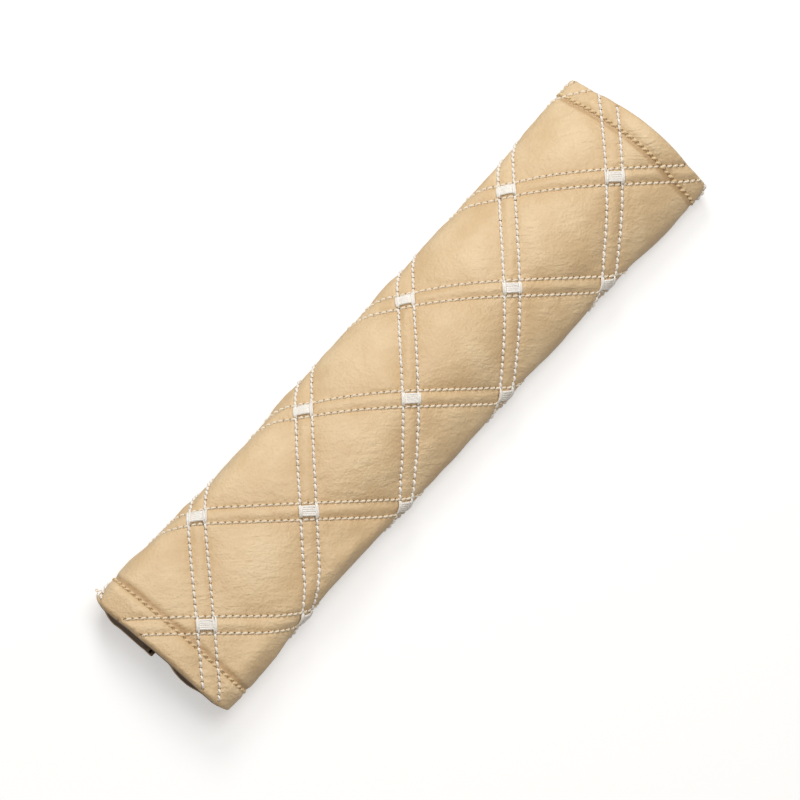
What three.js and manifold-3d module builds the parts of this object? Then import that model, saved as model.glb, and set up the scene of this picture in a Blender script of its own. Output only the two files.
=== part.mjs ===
// A quilted leather sleeve that closes round a seat belt and pads the shoulder.
// One padded panel is wrapped into a flattened tube: its crown and both long folds show from above,
// its two flaps lap over each other underneath and hold together with hook and loop tape.
//
// Millimetres. X runs along the pad, Y across it, Z up. The origin is on the ground under the middle.
// A place on the flat panel is given as [along, across]: along the pad from its middle, and across
// the leather from the crown line, left folds and flap positive. Offsets are measured outwards from
// the skin that touches every pillow's crown.

import * as THREE from 'three';
import Module from 'manifold-3d';

// Outline
const padLength = 271;
const padWidth = 60.4;
const endFlare = 3.4;
const flareLength = 58;
const waistNip = 1.5;
const waistPlace = -60;
const waistReach = 22;

// Section: domed over most of the length, lower and flatter at the open end
const domeHeight = 25;
const domeShoulder = THREE.MathUtils.degToRad(45);
const flatHeight = 22.5;
const flatShoulder = THREE.MathUtils.degToRad(12);
const flatteningStart = -15;
const flatteningEnd = -85;
const flatteningMargin = 10;

// Panel
const endBow = 1.4;
const upperLean = 1.7;
const lowerLean = 0.7;
const middlePlace = 0.4;
const leftEdgePlace = 2.4;
const leftFlapSetback = 3;
const rightFlapSetback = 5;
const flapLap = 19;
const lapClearance = 1;
const joggleTurn = THREE.MathUtils.degToRad(50);
const hemDepth = 10.5;
const hemGroove = 2.6;
const hemTail = 1.5;

// Layers
const leatherThickness = 0.9;
const foamAtStitch = 0.7;
const liningThickness = 0.5;
const layerGap = 0.3;
const foamSetback = 1;
const foamEndGap = 0.7;
const tapeWidth = 16;
const tapeThickness = 0.9;
const tapeEdge = 2;

// Quilting
const diamondSide = 40;
const rowSpacing = 6;
const quiltShiftAlong = -2;
const quiltShiftAcross = -4.8;
const quiltDepth = 2.2;
const undersideDepth = 0.7;
const undersidePress = 0.35;
const pillowShoulderRun = 5.5;
const tuckFade = 4;

// Thread
const threadWidth = 1.2;
const threadThickness = 0.4;
const threadLift = 0.5;
const hemThreadWidth = 1;
const knotAcross = 7.2;
const knotAlong = 4.2;
const knotHeight = 1.7;
const knotTopShare = 0.8;
const threadHump = 1.2;
const shortestRow = 5;

// Mesh: stops closer than this are merged, and places closer than a hair count as one
const stopSpacing = 1;
const hair = 1e-6;

// Worked out from the values above
const panelEnd = padLength / 2 - endBow;
const hemLine = panelEnd - hemDepth;
const halfRow = rowSpacing / 2;
const thinWall = leatherThickness + foamAtStitch + liningThickness + 2 * layerGap;
const leftFlapWall = undersideDepth + thinWall;
const lapRise = leftFlapWall + 2 * tapeThickness + 3 * layerGap;

// The right flap steps up through two arcs, one against the other, to pass over the left flap
const joggleRadius = lapRise / (2 * (1 - Math.cos(joggleTurn)));
const joggleRun = 2 * joggleRadius * Math.sin(joggleTurn);
const joggleLength = 2 * joggleRadius * joggleTurn;

const mix = THREE.MathUtils.lerp;
const easeBetween = (value, from, to) => THREE.MathUtils.smoothstep((value - from) / (to - from), 0, 1);
const clampShare = (value, from, to) => THREE.MathUtils.clamp((value - from) / (to - from), 0, 1);

// The section of the skin at a place along the pad, as arcs and straights from the crown outwards.
// A crown arc runs into a tighter fold arc, and the two together give the half width and the height.
function sectionAt(x) {
  const flat = easeBetween(x, flatteningStart, flatteningEnd);
  const height = mix(domeHeight, flatHeight, flat);
  const shoulder = mix(domeShoulder, flatShoulder, flat);
  const flare = endFlare * easeBetween(Math.abs(x), padLength / 2 - flareLength, padLength / 2);
  const nip = waistNip * Math.exp(-(((x - waistPlace) / waistReach) ** 2));
  const halfWidth = (padWidth + flare - nip) / 2;
  const sin = Math.sin(shoulder);
  const cos = Math.cos(shoulder);
  const foldRadius = (height * sin - halfWidth * (1 - cos)) / ((1 + cos) * sin - (1 - sin) * (1 - cos));
  const crownRadius = (halfWidth - foldRadius * (1 - sin)) / sin;
  const crown = { radius: crownRadius, length: crownRadius * shoulder };
  const fold = { radius: foldRadius, length: foldRadius * (Math.PI - shoulder) };
  const bottomStart = (crownRadius - foldRadius) * sin;
  const bottomAcross = crown.length + fold.length;
  return { height, crown, fold, bottomStart, bottomAcross };
}

const middle = sectionAt(0);
const joggleEnd = leftEdgePlace - lapClearance;
const joggleStart = joggleEnd - joggleRun;
const foldStart = middle.crown.length;
const foldEnd = middle.bottomAcross;
const leftReach = foldEnd + middle.bottomStart - leftEdgePlace;
const rightFlatRun = middle.bottomStart + joggleStart;
const rightReach = foldEnd + rightFlatRun + joggleLength + lapClearance + flapLap;
const joggleAcross = -(foldEnd + rightFlatRun);
const tightStart = (3 * foldStart) / 4;
const shallowStart = (2 * foldStart + foldEnd) / 3;
const tuckedStart = (foldStart + 3 * foldEnd) / 4;
const tuckedEnd = (5 * foldEnd - foldStart) / 4;

function walk(pieces, distance, height) {
  let y = 0;
  let z = height;
  let heading = 0;
  let left = distance;
  for (const { radius, length } of pieces) {
    const step = Math.min(left, length);
    if (radius) {
      const next = heading + step / radius;
      y += radius * (Math.sin(next) - Math.sin(heading));
      z += radius * (Math.cos(next) - Math.cos(heading));
      heading = next;
    } else {
      y += Math.cos(heading) * step;
      z -= Math.sin(heading) * step;
    }
    left -= step;
    if (left <= 0) break;
  }
  return { y, z, normalY: Math.sin(heading), normalZ: Math.cos(heading) };
}

// The point of the panel at [along, across], lifted off the skin by an offset. The panel eases
// across, so that its folds and flap edges keep their places while the section changes. Its ends lean
// a little, and the flaps' ends are set back underneath.
function panelPoint(along, across, offset) {
  const side = across < 0 ? -1 : 1;
  const reach = Math.abs(across);
  const bow = endBow * Math.max(0, 1 - (across / foldEnd) ** 2);
  const tucked = (side > 0 ? leftFlapSetback : rightFlapSetback) * easeBetween(reach, tuckedStart, tuckedEnd);
  const lean = (along > 0 ? upperLean : lowerLean) * THREE.MathUtils.clamp(-across / foldStart, -1, 1);
  const shift = Math.sign(along) * (bow - tucked) + lean;
  const x = along - middlePlace + shift * Math.abs(along / panelEnd) ** 3;
  const section = sectionAt(x);
  const usualRun = side > 0 ? leftReach - foldEnd : rightFlatRun;
  const flatRun = section.bottomStart - (side > 0 ? leftEdgePlace : -joggleStart);
  const overTop = (Math.min(reach, foldEnd) * section.bottomAcross) / foldEnd;
  const underneath = (THREE.MathUtils.clamp(reach - foldEnd, 0, usualRun) * flatRun) / usualRun;
  const pieces = [section.crown, section.fold, { length: flatRun }];
  if (side < 0) {
    pieces.push({ radius: joggleRadius, length: joggleLength / 2 });
    pieces.push({ radius: -joggleRadius, length: joggleLength / 2 });
  }
  pieces.push({ length: Infinity });
  const distance = overTop + underneath + Math.max(0, reach - foldEnd - usualRun);
  const spot = walk(pieces, distance, section.height);
  return new THREE.Vector3(x, side * (spot.y + spot.normalY * offset), spot.z + spot.normalZ * offset);
}

// Quilting. Each family of double rows has its own coordinate, zero midway between two rows of a pair.
const quiltEdge = -(foldEnd + rightFlatRun / 2);
const tuckStart = quiltEdge - tuckFade;

const plainCoordinate = ([along, across]) =>
  (along - quiltShiftAlong + across - quiltShiftAcross) / Math.SQRT2;
const knottedCoordinate = ([along, across]) =>
  (along - quiltShiftAlong - across + quiltShiftAcross) / Math.SQRT2;
const panelSpot = (plain, knotted) => [
  quiltShiftAlong + (plain + knotted) / Math.SQRT2,
  quiltShiftAcross + (plain - knotted) / Math.SQRT2,
];

function stitchDepth(across) {
  if (across < quiltEdge) return undersideDepth * clampShare(across, tuckStart, quiltEdge);
  return mix(quiltDepth, undersideDepth, clampShare(Math.abs(across), tightStart, shallowStart));
}

const pillowCrown = diamondSide / 2;
const pillowShoulder = halfRow + pillowShoulderRun;

function pillowRise(coordinate) {
  const wrapped = coordinate - diamondSide * Math.round(coordinate / diamondSide);
  const share = clampShare(Math.abs(wrapped), halfRow, pillowCrown);
  return 1 - (1 - share) ** 3;
}

// Share of the pillow height left near an end, as distance from the end and share: a groove at the
// hem seam and a soft outer edge
const hemProfile = [
  [0, 0.3],
  [hemDepth - hemGroove, 0.75],
  [hemDepth, 0.3],
  [hemDepth + hemGroove, 0.8],
  [hemDepth + 4 * hemGroove, 1],
];

function hemShare(along) {
  const inset = panelEnd - Math.abs(along);
  for (let i = 1; i < hemProfile.length; i += 1) {
    const [from, low] = hemProfile[i - 1];
    const [to, high] = hemProfile[i];
    if (inset <= to) return mix(low, high, clampShare(inset, from, to));
  }
  return 1;
}

function relief(point) {
  const [along, across] = point;
  const rise = hemShare(along) * pillowRise(plainCoordinate(point)) * pillowRise(knottedCoordinate(point));
  const press = undersidePress * clampShare(Math.abs(across), shallowStart, foldEnd);
  return -stitchDepth(across) * Math.max(0, (1 - rise - press) / (1 - press));
}

// Flat patterns: lists of triangles whose corners are places on the panel
const onLine = 0.35;

function cutCells(cells, distanceTo) {
  const result = [];
  for (const cell of cells) {
    const distances = cell.map((corner) => {
      const distance = distanceTo(corner);
      return Math.abs(distance) < onLine ? 0 : distance;
    });
    if (Math.min(...distances) >= 0 || Math.max(...distances) <= 0) {
      result.push(cell);
      continue;
    }
    const above = [];
    const below = [];
    cell.forEach((corner, i) => {
      const next = cell[(i + 1) % cell.length];
      const here = distances[i];
      const there = distances[(i + 1) % cell.length];
      if (here >= 0) above.push(corner);
      if (here <= 0) below.push(corner);
      if (here * there < 0) {
        const crossing = corner.map((value, axis) => mix(value, next[axis], here / (here - there)));
        above.push(crossing);
        below.push(crossing);
      }
    });
    result.push(above, below);
  }
  return result;
}

function fan(cell) {
  const spread = (a, b) => Math.abs(cell[a][1] - cell[b][1]);
  const start = cell.length === 4 && spread(1, 3) < spread(0, 2) ? 1 : 0;
  const corners = cell.map((_, i) => cell[(i + start) % cell.length]);
  const triangles = [];
  for (let i = 2; i < corners.length; i += 1) triangles.push([corners[0], corners[i - 1], corners[i]]);
  return triangles;
}

const sameSpot = (a, b) => Math.abs(a[0] - b[0]) < hair && Math.abs(a[1] - b[1]) < hair;

function edgeRow(triangles, axis, value) {
  const row = triangles.flat().filter((corner) => Math.abs(corner[axis] - value) < hair);
  row.sort((a, b) => a[1 - axis] - b[1 - axis]);
  return row.filter((corner, i) => i === 0 || !sameSpot(corner, row[i - 1]));
}

// Triangles between two rows of places: the right-hand row first, both running the same way
function strip(right, left, axis) {
  const triangles = [];
  let i = 0;
  let j = 0;
  while (i < right.length - 1 || j < left.length - 1) {
    const rightNext = i < right.length - 1 ? right[i + 1][axis] : Infinity;
    const leftNext = j < left.length - 1 ? left[j + 1][axis] : Infinity;
    if (rightNext < leftNext) {
      triangles.push([right[i], right[i + 1], left[j]]);
      i += 1;
    } else {
      triangles.push([right[i], left[j + 1], left[j]]);
      j += 1;
    }
  }
  return triangles;
}

function evenly(from, to, count) {
  return Array.from({ length: count + 1 }, (_, i) => mix(from, to, i / count));
}

const foldCuts = evenly(tightStart, foldEnd, 4);
const tuckCuts = [
  tuckStart,
  ...evenly(joggleAcross, joggleAcross - joggleLength, 3),
];
const stepStations = [
  ...evenly(flatteningEnd - flatteningMargin, flatteningStart + flatteningMargin, 5),
  padLength / 2 - flareLength,
  padLength / 2 - flareLength / 2,
];

// The panel with its quilting down to the joggle, and a plain tucked flap beyond it
function quiltedPattern(end, leftEdge, rightEdge, rowCuts) {
  let cells = [[[-end, quiltEdge], [end, quiltEdge], [end, leftEdge], [-end, leftEdge]]];
  const periods = Math.ceil((padLength + leftReach + rightReach) / 2 / diamondSide);
  for (const coordinate of [plainCoordinate, knottedCoordinate]) {
    for (let k = -periods; k <= periods; k += 1) {
      for (const cut of rowCuts) {
        cells = cutCells(cells, (corner) => coordinate(corner) - k * diamondSide - cut);
      }
    }
  }
  for (const cut of foldCuts.slice(1)) {
    cells = cutCells(cells, (corner) => corner[1] - cut);
    cells = cutCells(cells, (corner) => corner[1] + cut);
  }
  for (const [inset] of hemProfile.slice(1, 4)) {
    cells = cutCells(cells, (corner) => corner[0] - panelEnd + inset);
    cells = cutCells(cells, (corner) => corner[0] + panelEnd - inset);
  }
  const triangles = cells.flatMap(fan);
  const tuckAlong = [-end, -hemLine, ...stepStations, hemLine, end];
  let upper = edgeRow(triangles, 1, quiltEdge);
  for (const cut of [...tuckCuts, rightEdge]) {
    const row = tuckAlong.map((along) => [along, cut]);
    triangles.push(...strip(row, upper, 0));
    upper = row;
  }
  return triangles;
}

function plainPattern(alongStops, acrossStops) {
  const triangles = [];
  for (let i = 1; i < acrossStops.length; i += 1) {
    const lower = alongStops.map((along) => [along, acrossStops[i - 1]]);
    const upper = alongStops.map((along) => [along, acrossStops[i]]);
    triangles.push(...strip(lower, upper, 0));
  }
  return triangles;
}

// A coarser pattern that keeps the edge of another, for a face that has no pillows
function plainWithin(pattern, alongStops, acrossStops) {
  const grid = plainPattern(alongStops.slice(1, -1), acrossStops.slice(1, -1));
  const triangles = [...grid];
  for (const [axis, stops] of [[1, acrossStops], [0, alongStops]]) {
    const low = [edgeRow(pattern, axis, stops[0]), edgeRow(grid, axis, stops[1])];
    const high = [edgeRow(grid, axis, stops.at(-2)), edgeRow(pattern, axis, stops.at(-1))];
    for (const pair of [low, high]) {
      const [right, left] = axis === 1 ? pair : pair.toReversed();
      triangles.push(...strip(right, left, 1 - axis));
    }
  }
  return triangles;
}

// A sheet of material: a pattern with an outer and an inner face, closed all round its edge
function sheetGeometry(pattern, outerPoint, innerPoint, innerPattern = pattern) {
  const numbers = new Map();
  const corners = [];
  const numberOf = (corner) => {
    const key = corner.map((value) => Math.round(value * 1e4)).join(' ');
    if (!numbers.has(key)) {
      numbers.set(key, corners.length);
      corners.push(corner);
    }
    return numbers.get(key);
  };
  const faces = pattern.map((triangle) => triangle.map(numberOf));
  const innerFaces = innerPattern.map((triangle) => triangle.map(numberOf));
  const count = corners.length;
  const edges = new Set();
  for (const [a, b, c] of faces) {
    edges.add(`${a} ${b}`).add(`${b} ${c}`).add(`${c} ${a}`);
  }
  const index = faces.flat();
  for (const [a, b, c] of innerFaces) index.push(count + c, count + b, count + a);
  for (const edge of edges) {
    const [a, b] = edge.split(' ').map(Number);
    if (!edges.has(`${b} ${a}`)) index.push(b, a, count + a, b, count + a, count + b);
  }
  const points = [...corners.map(outerPoint), ...corners.map(innerPoint)];
  return meshGeometry(points, index);
}

function meshGeometry(points, index) {
  const geometry = new THREE.BufferGeometry();
  geometry.setAttribute('position', new THREE.Float32BufferAttribute(points.flatMap((p) => p.toArray()), 3));
  geometry.setIndex(index);
  geometry.computeVertexNormals();
  return geometry;
}

const wallAt = (across) => stitchDepth(across) + thinWall;

// The foam stops short of the leather all round, and the lining's ends are caught by the hem seams
const innerEnd = panelEnd - leatherThickness - foamSetback;
const innerLeft = leftReach - layerGap;
const innerRight = -rightReach + layerGap;

const alongStops = [-innerEnd, -hemLine, ...stepStations, hemLine, innerEnd];
const acrossStops = [
  innerRight,
  ...tuckCuts.toReversed(),
  quiltEdge,
  ...foldCuts.toReversed().map((cut) => -cut),
  ...evenly(-tightStart, tightStart, 5).slice(1, -1),
  ...foldCuts,
  innerLeft,
];

// Leather: the quilted skin, with its ends turned in over the lining and held by the hem seams
const turnedFace = leftFlapWall + leatherThickness;
const turnedEnd = turnedFace + hemDepth + hemTail;

function leatherPoint(face) {
  return (corner) => {
    const [along, across] = corner;
    const beyond = Math.abs(along) - panelEnd;
    if (beyond <= hair) {
      const inset = face * (Math.abs(beyond) < hair ? leatherThickness : 0);
      const place = Math.sign(along) * (Math.abs(along) - inset);
      return panelPoint(place, across, relief(corner) - face * leatherThickness);
    }
    const inside = beyond < turnedFace + hair ? leatherThickness * face : turnedEnd - turnedFace;
    const depth = wallAt(across) + layerGap + leatherThickness * (1 - face);
    return panelPoint(Math.sign(along) * (panelEnd - inside), across, -depth);
  };
}

function leatherPattern() {
  const rows = [-halfRow, halfRow, pillowShoulder, pillowCrown, diamondSide - pillowShoulder];
  const triangles = quiltedPattern(panelEnd, leftReach, -rightReach, rows);
  const turnAcross = [-rightReach, ...acrossStops.slice(1, -1), leftReach];
  for (const end of [-1, 1]) {
    let inner = edgeRow(triangles, 0, end * panelEnd);
    for (const beyond of [turnedFace, turnedEnd]) {
      const outer = turnAcross.map((across) => [end * (panelEnd + beyond), across]);
      triangles.push(...(end > 0 ? strip(outer, inner, 1) : strip(inner, outer, 1)));
      inner = outer;
    }
  }
  return triangles;
}

function foamGeometry() {
  const pattern = quiltedPattern(innerEnd, innerLeft, innerRight, [-halfRow, halfRow, pillowCrown]);
  const outer = ([along, across]) => {
    const gap = mix(foamEndGap, layerGap, clampShare(panelEnd - Math.abs(along), 0, 2 * hemDepth));
    return panelPoint(along, across, relief([along, across]) - leatherThickness - gap);
  };
  const depth = (across) => wallAt(across) - liningThickness - layerGap;
  const inner = ([along, across]) => panelPoint(along, across, -depth(across));
  return sheetGeometry(pattern, outer, inner, plainWithin(pattern, alongStops, acrossStops));
}

function liningGeometry() {
  const outer = ([along, across]) => panelPoint(along, across, liningThickness - wallAt(across));
  const inner = ([along, across]) => panelPoint(along, across, -wallAt(across));
  return sheetGeometry(plainPattern(alongStops.slice(1, -1), acrossStops), outer, inner);
}

// Closure tapes: hooks on the left flap's lining, loops on the leather of the tucked flap
const tapeEnd = hemLine - 2 * tapeEdge;
const tapeStops = [-tapeEnd, ...stepStations, tapeEnd];

function hookTapeGeometry() {
  const across = [leftReach - tapeEdge - tapeWidth, leftReach - tapeEdge];
  const depth = leftFlapWall + layerGap;
  const outer = ([along, place]) => panelPoint(along, place, -depth);
  const inner = ([along, place]) => panelPoint(along, place, -depth - tapeThickness);
  return sheetGeometry(plainPattern(tapeStops, across), outer, inner);
}

function loopTapeGeometry() {
  const across = [-rightReach + tapeEdge, -rightReach + tapeEdge + tapeWidth];
  const outer = ([along, place]) => panelPoint(along, place, layerGap + tapeThickness);
  const inner = ([along, place]) => panelPoint(along, place, layerGap);
  return sheetGeometry(plainPattern(tapeStops, across), outer, inner);
}

// Thread. A row is a three-sided strip through places on the panel, lifted above the stitch line.
const rowLift = threadLift;
const overLift = 2 * threadLift + threadThickness;

function threadGeometry(places, sideways, width) {
  const points = [];
  for (const { spot, base } of places) {
    const edge = (share) => spot.map((value, axis) => value + (share * sideways[axis] * width) / 2);
    points.push(panelPoint(...edge(-1), base), panelPoint(...edge(1), base));
    points.push(panelPoint(...spot, base + threadThickness));
  }
  const index = [0, 1, 2];
  for (let i = 3; i < points.length; i += 3) {
    for (const [a, b] of [[0, 1], [1, 2], [2, 0]]) {
      index.push(i - 3 + a, i + b, i - 3 + b, i - 3 + a, i + a, i + b);
    }
  }
  const last = points.length - 3;
  index.push(last, last + 2, last + 1);
  return meshGeometry(points, index);
}

const rowEnd = panelEnd - layerGap;
const rowReach = tuckedStart;
const rowStops = [
  ...evenly(-rowReach, -tightStart, 6),
  ...evenly(-tightStart, tightStart, 5).slice(1, -1),
  ...evenly(tightStart, rowReach, 6),
];

// The stretch of a row that lies on the panel, as its own coordinate from and to
function rowRange(spotAt) {
  const [startAlong, startAcross] = spotAt(0);
  const [nextAlong, nextAcross] = spotAt(1);
  const alongRate = nextAlong - startAlong;
  const acrossRate = nextAcross - startAcross;
  const alongLimits = [-rowEnd, rowEnd].map((limit) => (limit - startAlong) / alongRate);
  const acrossLimits = [-rowReach, rowReach].map((limit) => (limit - startAcross) / acrossRate);
  const from = Math.max(Math.min(...alongLimits), Math.min(...acrossLimits));
  const to = Math.min(Math.max(...alongLimits), Math.max(...acrossLimits));
  const stops = rowStops.map((stop) => (stop - startAcross) / acrossRate);
  return { from, to, stops };
}

const crossingReach = halfRow + threadWidth / 2 + 2 * layerGap;

function rowPlaces(spotAt, crossings) {
  const { from, to, stops } = rowRange(spotAt);
  const wanted = [from, to];
  const isNear = (value, reach) => crossings.some((crossing) => Math.abs(value - crossing) < reach);
  const isClear = (stop) => !isNear(stop, crossingReach + 2 * threadHump);
  const isInside = (stop) => stop > from + stopSpacing && stop < to - stopSpacing;
  wanted.push(...stops.filter((stop) => isInside(stop) && isClear(stop)));
  for (const crossing of crossings) {
    for (const reach of [crossingReach, crossingReach + threadHump]) {
      for (const value of [crossing - reach, crossing + reach]) {
        if (value > from && value < to) wanted.push(value);
      }
    }
  }
  wanted.sort((a, b) => a - b);
  return wanted.map((value) => {
    const spot = spotAt(value);
    const raised = isNear(value, crossingReach + threadHump / 2);
    return { spot, base: (raised ? overLift : rowLift) - stitchDepth(spot[1]) };
  });
}

// Two rows of a pair, side by side; a stretch too short to hold a stitch is left out
const diagonal = Math.SQRT1_2;

function pairRows(pair, spotOn) {
  const rows = [-halfRow, halfRow].map((side) => {
    const spotAt = (value) => spotOn(pair * diamondSide + side, value);
    return { spotAt, range: rowRange(spotAt) };
  });
  return rows.filter(({ range }) => range.to - range.from > shortestRow);
}

function plainRows(pair) {
  const rows = pairRows(pair, (line, value) => panelSpot(line, value));
  return rows.map(({ spotAt }) => threadGeometry(rowPlaces(spotAt, []), [-diagonal, -diagonal], threadWidth));
}

// Satin-stitched knot over a crossing, closed block with a domed top
function knotGeometry(plain, knotted) {
  const rings = [[1, threadLift], [knotTopShare, knotHeight]];
  const points = [];
  for (const [share, lift] of rings) {
    for (const [a, b] of [[-1, -1], [-1, 1], [1, 1], [1, -1]]) {
      const spot = panelSpot(plain + (a * share * knotAlong) / 2, knotted + (b * share * knotAcross) / 2);
      points.push(panelPoint(...spot, lift - stitchDepth(spot[1])));
    }
  }
  const index = [2, 1, 0, 3, 2, 0, 4, 5, 6, 4, 6, 7];
  for (let i = 0; i < 4; i += 1) {
    const next = (i + 1) % 4;
    index.push(i, next, 4 + next, i, 4 + next, 4 + i);
  }
  return meshGeometry(points, index);
}

const wasm = await Module();
wasm.setup();

function toSolid(geometry) {
  const vertProperties = Float32Array.from(geometry.getAttribute('position').array);
  const triVerts = Uint32Array.from(geometry.getIndex().array);
  return new wasm.Manifold(new wasm.Mesh({ numProp: 3, vertProperties, triVerts }));
}

function joined(geometries) {
  const solid = geometries.map(toSolid).reduce((sum, next) => sum.add(next));
  const { vertProperties, triVerts } = solid.getMesh();
  const geometry = new THREE.BufferGeometry();
  geometry.setAttribute('position', new THREE.Float32BufferAttribute(vertProperties, 3));
  geometry.setIndex(Array.from(triVerts));
  geometry.computeVertexNormals();
  return geometry;
}

// A double row with the knots that tie its two rows together at each crossing, as one strip of
// thread. Near a corner of the panel a pair has no crossing, and its two rows stay apart.
function knottedRows(pair) {
  const rows = pairRows(pair, (line, value) => panelSpot(value, line));
  const from = Math.max(...rows.map((row) => row.range.from)) + crossingReach;
  const to = Math.min(...rows.map((row) => row.range.to)) - crossingReach;
  const crossings = [];
  for (let k = Math.ceil(from / diamondSide); k <= to / diamondSide; k += 1) crossings.push(k * diamondSide);
  const pieces = rows.map(({ spotAt }) =>
    threadGeometry(rowPlaces(spotAt, crossings), [diagonal, -diagonal], threadWidth));
  if (crossings.length === 0) return pieces;
  pieces.push(...crossings.map((crossing) => knotGeometry(crossing, pair * diamondSide)));
  return [joined(pieces)];
}

// The hem seam bridges the quilting rows, so it lies at one depth all the way round
function hemSeam(end) {
  const along = end * hemLine;
  const places = rowStops.map((across) => ({ spot: [along, across], base: overLift - stitchDepth(across) }));
  return threadGeometry(places, [1, 0], hemThreadWidth);
}

// Materials
const material = (name, color, roughness) =>
  Object.assign(new THREE.MeshStandardMaterial({ color, roughness, metalness: 0 }), { name });
const finishes = {
  leather: material('leather', 0xdfc499, 0.5),
  foam: material('foam', 0xe9dfc4, 0.95),
  lining: material('lining', 0x6b5846, 0.9),
  tape: material('tape', 0xcfc8c0, 0.85),
  thread: material('thread', 0xf4f1ea, 0.6),
  hemThread: material('hem_thread', 0xd8bd93, 0.7),
};

const pad = new THREE.Group();
pad.name = 'shoulder_pad';

function addPiece(name, geometry, finish) {
  const mesh = new THREE.Mesh(geometry, finish);
  mesh.name = name;
  pad.add(mesh);
}

const leather = sheetGeometry(leatherPattern(), leatherPoint(0), leatherPoint(1));
addPiece('leather_cover', leather, finishes.leather);
addPiece('foam_padding', foamGeometry(), finishes.foam);
addPiece('lining', liningGeometry(), finishes.lining);
addPiece('hook_tape', hookTapeGeometry(), finishes.tape);
addPiece('loop_tape', loopTapeGeometry(), finishes.tape);
addPiece('upper_hem_seam', hemSeam(1), finishes.hemThread);
addPiece('lower_hem_seam', hemSeam(-1), finishes.hemThread);

for (let pair = -3; pair <= 3; pair += 1) {
  const number = pair + 4;
  const tied = knottedRows(pair);
  const tiedName = (i) => (tied.length === 1 ? `knotted_rows_${number}` : `corner_row_${number}${'ab'[i]}`);
  tied.forEach((geometry, i) => addPiece(tiedName(i), geometry, finishes.thread));
  const plainName = (i) => `plain_row_${number}${'ab'[i]}`;
  plainRows(pair).forEach((geometry, i) => addPiece(plainName(i), geometry, finishes.thread));
}

export default pad;
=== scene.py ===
# %% [markdown]
# # A quilted seat belt pad
# The real thing is one padded panel of faux leather, quilted in diamonds, folded round a belt and closed
# underneath with hook and loop tape. The CAD frame gives its size and its main form. Here it gets what the
# eye looks for: pillows that swell between the seams, single stitches with their needle holes, satin knots,
# leather grain and a dark knitted inside. Everything is measured in millimetres on the flat panel and put
# round the pad by one function, so stitches, seams and pillows can't drift apart.

# %% Load the CAD frame
import math

import bpy
import numpy as np
from mathutils import Matrix, Vector


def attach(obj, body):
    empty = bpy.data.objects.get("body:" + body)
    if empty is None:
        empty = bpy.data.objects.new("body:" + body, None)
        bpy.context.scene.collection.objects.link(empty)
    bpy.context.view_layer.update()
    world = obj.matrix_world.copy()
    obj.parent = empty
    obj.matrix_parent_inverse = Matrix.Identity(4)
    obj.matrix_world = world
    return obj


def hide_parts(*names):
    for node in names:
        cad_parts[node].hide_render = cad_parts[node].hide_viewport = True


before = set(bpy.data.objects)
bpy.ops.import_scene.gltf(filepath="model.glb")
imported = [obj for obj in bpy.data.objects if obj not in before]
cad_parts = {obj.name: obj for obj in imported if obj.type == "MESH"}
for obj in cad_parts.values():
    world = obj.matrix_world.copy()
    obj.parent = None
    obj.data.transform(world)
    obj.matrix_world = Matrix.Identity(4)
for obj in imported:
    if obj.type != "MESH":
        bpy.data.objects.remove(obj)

scene = bpy.context.scene
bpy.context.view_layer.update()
MM = 0.001

# %% [markdown]
# ## The panel and its section
# A sewer would draw this pad flat: `along` is the way along it, `across` is the way round it from the crown
# line. The closed pad's section is made of arcs: a wide crown arc, a tight fold arc, a flat underside, and on
# the tucked flap a double bend that steps over the other flap. Walking that outline by length keeps the
# leather its real size, which a scaled or squeezed shape would not.

# %% Sizes of the panel, in millimetres
PAD_LENGTH, PAD_WIDTH = 271.0, 60.4
END_FLARE, FLARE_LENGTH = 3.4, 58.0
WAIST_NIP, WAIST_PLACE, WAIST_REACH = 1.5, -60.0, 22.0
DOME_HEIGHT, DOME_SHOULDER = 25.0, math.radians(45)
FLAT_HEIGHT, FLAT_SHOULDER = 22.5, math.radians(12)
FLATTENING_START, FLATTENING_END = -15.0, -85.0
END_BOW, LEFT_EDGE_PLACE = 1.4, 2.4
UPPER_LEAN, LOWER_LEAN, MIDDLE_PLACE = 1.7, 0.7, 0.4
LEFT_SETBACK, RIGHT_SETBACK, CORNER_TUCK, CORNER_REACH = 1.9, 1.6, 3.2, 1.3
FLAP_LAP, LAP_CLEARANCE, HEM_DEPTH, UPPER_HEM_SHIFT = 19.0, 1.0, 10.5, 2.6
LEATHER, FOAM_AT_STITCH, LINING, LAYER_GAP = 0.9, 0.7, 0.5, 0.3
TAPE_THICKNESS = 0.9
DIAMOND, HALF_ROW = 40.0, 3.0
SHIFT_ALONG, SHIFT_ACROSS = -2.0, -4.8
QUILT_DEPTH, UNDERSIDE_DEPTH, UNDERSIDE_PRESS, FULLNESS = 2.2, 0.7, 0.35, 0.8
JOGGLE_TURN = math.radians(50)

PANEL_END = PAD_LENGTH / 2 - END_BOW
HEM_LINE = PANEL_END - HEM_DEPTH
HEM_MIDDLE, HEM_HALF = UPPER_HEM_SHIFT / 2, HEM_LINE + UPPER_HEM_SHIFT / 2
THIN_WALL = LEATHER + FOAM_AT_STITCH + LINING + 2 * LAYER_GAP
LEFT_WALL = UNDERSIDE_DEPTH + THIN_WALL
LAP_RISE = LEFT_WALL + 2 * TAPE_THICKNESS + 3 * LAYER_GAP
JOGGLE_RADIUS = LAP_RISE / (2 * (1 - math.cos(JOGGLE_TURN)))
JOGGLE_RUN = 2 * JOGGLE_RADIUS * math.sin(JOGGLE_TURN)
JOGGLE_LENGTH = 2 * JOGGLE_RADIUS * JOGGLE_TURN


def share(value, low, high):
    return np.clip((value - low) / (high - low), 0, 1)


def ease(value, low, high):
    t = share(value, low, high)
    return t * t * (3 - 2 * t)


def mix(a, b, t):
    return a + (b - a) * t


def bell(distance, width):
    return np.exp(-((distance / width) ** 2))


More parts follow.
